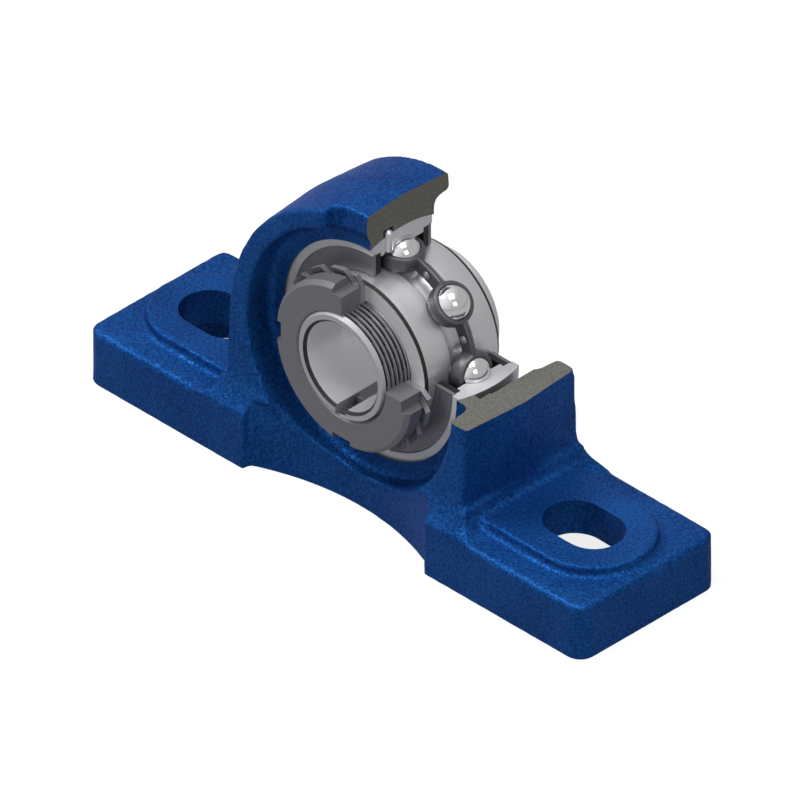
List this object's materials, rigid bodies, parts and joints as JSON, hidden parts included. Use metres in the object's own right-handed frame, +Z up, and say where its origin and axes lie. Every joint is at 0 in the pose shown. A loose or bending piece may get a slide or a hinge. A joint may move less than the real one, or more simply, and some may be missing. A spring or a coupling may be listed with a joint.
{
  "type": "pillow block bearing",
  "caption": "Cast pillow block with a self-aligning ball bearing insert on a slit adapter sleeve, one quarter cut away to show balls, cage, seals and lock nut.",
  "frame": {"origin": "middle of the flat underside of the base", "axes": "+X along the base, +Y along the shaft from the lock nut to the back, +Z up"},
  "size_m": [0.14, 0.0392, 0.0703],
  "materials": {
    "painted_casting": "rough cast, painted blue, with bare cut faces",
    "ring_steel": "ground bearing steel",
    "cage_steel": "pressed sheet steel, dark",
    "rivet_steel": "bright steel",
    "ball_steel": "polished chrome steel",
    "dark_steel": "dark phosphated steel",
    "seal_rubber": "black moulded rubber",
    "sleeve_steel": "turned steel"
  },
  "bodies": {
    "housing": {"housing": "painted_casting"},
    "insert": {"outer_ring": "ring_steel", "front_shield": "dark_steel", "rear_shield": "dark_steel", "front_seal": "seal_rubber", "rear_seal": "seal_rubber", "locating_pin": "rivet_steel"},
    "inner": {"inner_ring": "ring_steel", "adapter_sleeve": "sleeve_steel", "lock_washer": "dark_steel", "lock_nut": "dark_steel"},
    "cage": {"cage_front": "cage_steel", "cage_rear": "cage_steel", "cage_rivets": "rivet_steel"},
    "ball_1": {"ball_1": "ball_steel"},
    "ball_2": {"ball_2": "ball_steel"},
    "ball_3": {"ball_3": "ball_steel"},
    "ball_4": {"ball_4": "ball_steel"},
    "ball_5": {"ball_5": "ball_steel"},
    "ball_6": {"ball_6": "ball_steel"},
    "ball_7": {"ball_7": "ball_steel"},
    "ball_8": {"ball_8": "ball_steel"}
  },
  "joints": [
    {"name": "self_align", "type": "hinge", "parent": "housing", "child": "insert", "pos_m": [0, 0, 0.0365], "axis": [0, 0, 1], "range_deg": [-2, 2]},
    {"name": "inner_spin", "type": "hinge", "parent": "insert", "child": "inner", "pos_m": [0, 0, 0.0365], "axis": [0, 1, 0], "continuous": true},
    {"name": "cage_spin", "type": "hinge", "parent": "insert", "child": "cage", "pos_m": [0, 0, 0.0365], "axis": [0, 1, 0], "continuous": true},
    {"name": "ball_1_roll", "type": "hinge", "parent": "cage", "child": "ball_1", "pos_m": [0.0195, 0, 0.0365], "axis": [0, 1, 0], "continuous": true},
    {"name": "ball_2_roll", "type": "hinge", "parent": "cage", "child": "ball_2", "pos_m": [0.01379, 0, 0.05029], "axis": [0, 1, 0], "continuous": true},
    {"name": "ball_3_roll", "type": "hinge", "parent": "cage", "child": "ball_3", "pos_m": [0, 0, 0.056], "axis": [0, 1, 0], "continuous": true},
    {"name": "ball_4_roll", "type": "hinge", "parent": "cage", "child": "ball_4", "pos_m": [-0.01379, 0, 0.05029], "axis": [0, 1, 0], "continuous": true},
    {"name": "ball_5_roll", "type": "hinge", "parent": "cage", "child": "ball_5", "pos_m": [-0.0195, 0, 0.0365], "axis": [0, 1, 0], "continuous": true},
    {"name": "ball_6_roll", "type": "hinge", "parent": "cage", "child": "ball_6", "pos_m": [-0.01379, 0, 0.02271], "axis": [0, 1, 0], "continuous": true},
    {"name": "ball_7_roll", "type": "hinge", "parent": "cage", "child": "ball_7", "pos_m": [0, 0, 0.017], "axis": [0, 1, 0], "continuous": true},
    {"name": "ball_8_roll", "type": "hinge", "parent": "cage", "child": "ball_8", "pos_m": [0.01379, 0, 0.02271], "axis": [0, 1, 0], "continuous": true}
  ],
  "couplings": [
    {"joint": "cage_spin", "follows": "inner_spin", "ratio": 0.39823},
    {"joint": "ball_1_roll", "follows": "inner_spin", "ratio": -2.3548},
    {"joint": "ball_2_roll", "follows": "inner_spin", "ratio": -2.3548},
    {"joint": "ball_3_roll", "follows": "inner_spin", "ratio": -2.3548},
    {"joint": "ball_4_roll", "follows": "inner_spin", "ratio": -2.3548},
    {"joint": "ball_5_roll", "follows": "inner_spin", "ratio": -2.3548},
    {"joint": "ball_6_roll", "follows": "inner_spin", "ratio": -2.3548},
    {"joint": "ball_7_roll", "follows": "inner_spin", "ratio": -2.3548},
    {"joint": "ball_8_roll", "follows": "inner_spin", "ratio": -2.3548}
  ]
}
